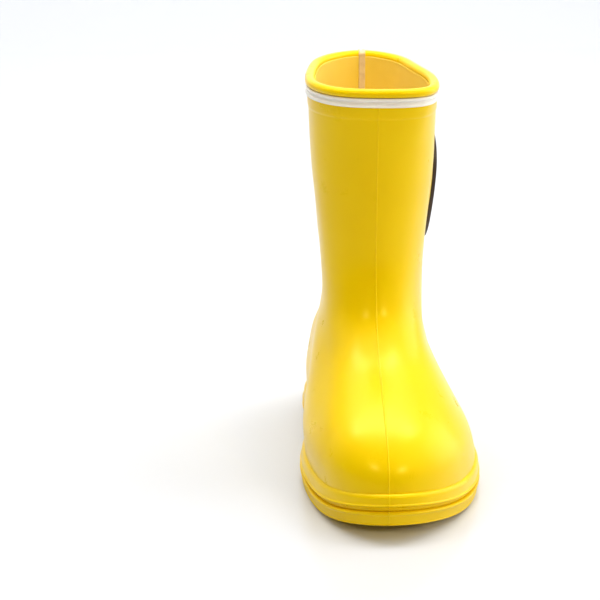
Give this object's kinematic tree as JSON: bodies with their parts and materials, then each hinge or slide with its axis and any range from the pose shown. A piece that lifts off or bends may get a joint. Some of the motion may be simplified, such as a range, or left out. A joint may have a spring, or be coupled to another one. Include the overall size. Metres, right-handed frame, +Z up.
{
  "type": "rubber rain boot",
  "caption": "Child's pull-on rubber rain boot for the left foot, mid-calf shaft, rolled rim with a white trim, raised sole band, oval side badge, knit lining and removable insole.",
  "frame": {"origin": "on the ground, below the centre of the bounding box", "axes": "+Z up, toe toward -Y, heel toward +Y, outer side of the left foot toward +X"},
  "size_m": [0.0826, 0.1828, 0.1828],
  "materials": {
    "yellow_rubber": "smooth, semi-gloss, bright yellow",
    "yellow_sole_rubber": "satin, bright yellow",
    "white_rubber": "satin white",
    "sponge_rubber": "open sponge, dark grey",
    "stiffener_board": "resin-stiffened cloth",
    "yellow_knit": "fine yellow knit",
    "lining_board": "stitched felt board",
    "cotton_tape": "cream woven tape",
    "insole_foam": "closed-cell foam, pale grey",
    "insole_cloth": "pale yellow mesh cloth",
    "dark_badge": "matte, near-black brown",
    "grey_badge": "matte, light grey, raised"
  },
  "bodies": {
    "boot": {"upper_shell": "yellow_rubber", "top_roll": "yellow_rubber", "white_trim": "white_rubber", "foxing_band": "yellow_rubber", "outsole": "yellow_sole_rubber", "sole_filler": "sponge_rubber", "toe_puff": "stiffener_board", "heel_counter": "stiffener_board", "lining_sock": "yellow_knit", "lining_sole": "lining_board", "back_seam_tape": "cotton_tape", "badge_plate": "dark_badge", "badge_drop": "grey_badge"},
    "insole": {"insole_foam": "insole_foam", "insole_cover": "insole_cloth"}
  },
  "joints": [
    {"name": "insole_lift", "type": "hinge", "parent": "boot", "child": "insole", "pos_m": [-0.0059, -0.084, 0.0157], "axis": [1, 0, 0], "range_deg": [0, 7]}
  ]
}
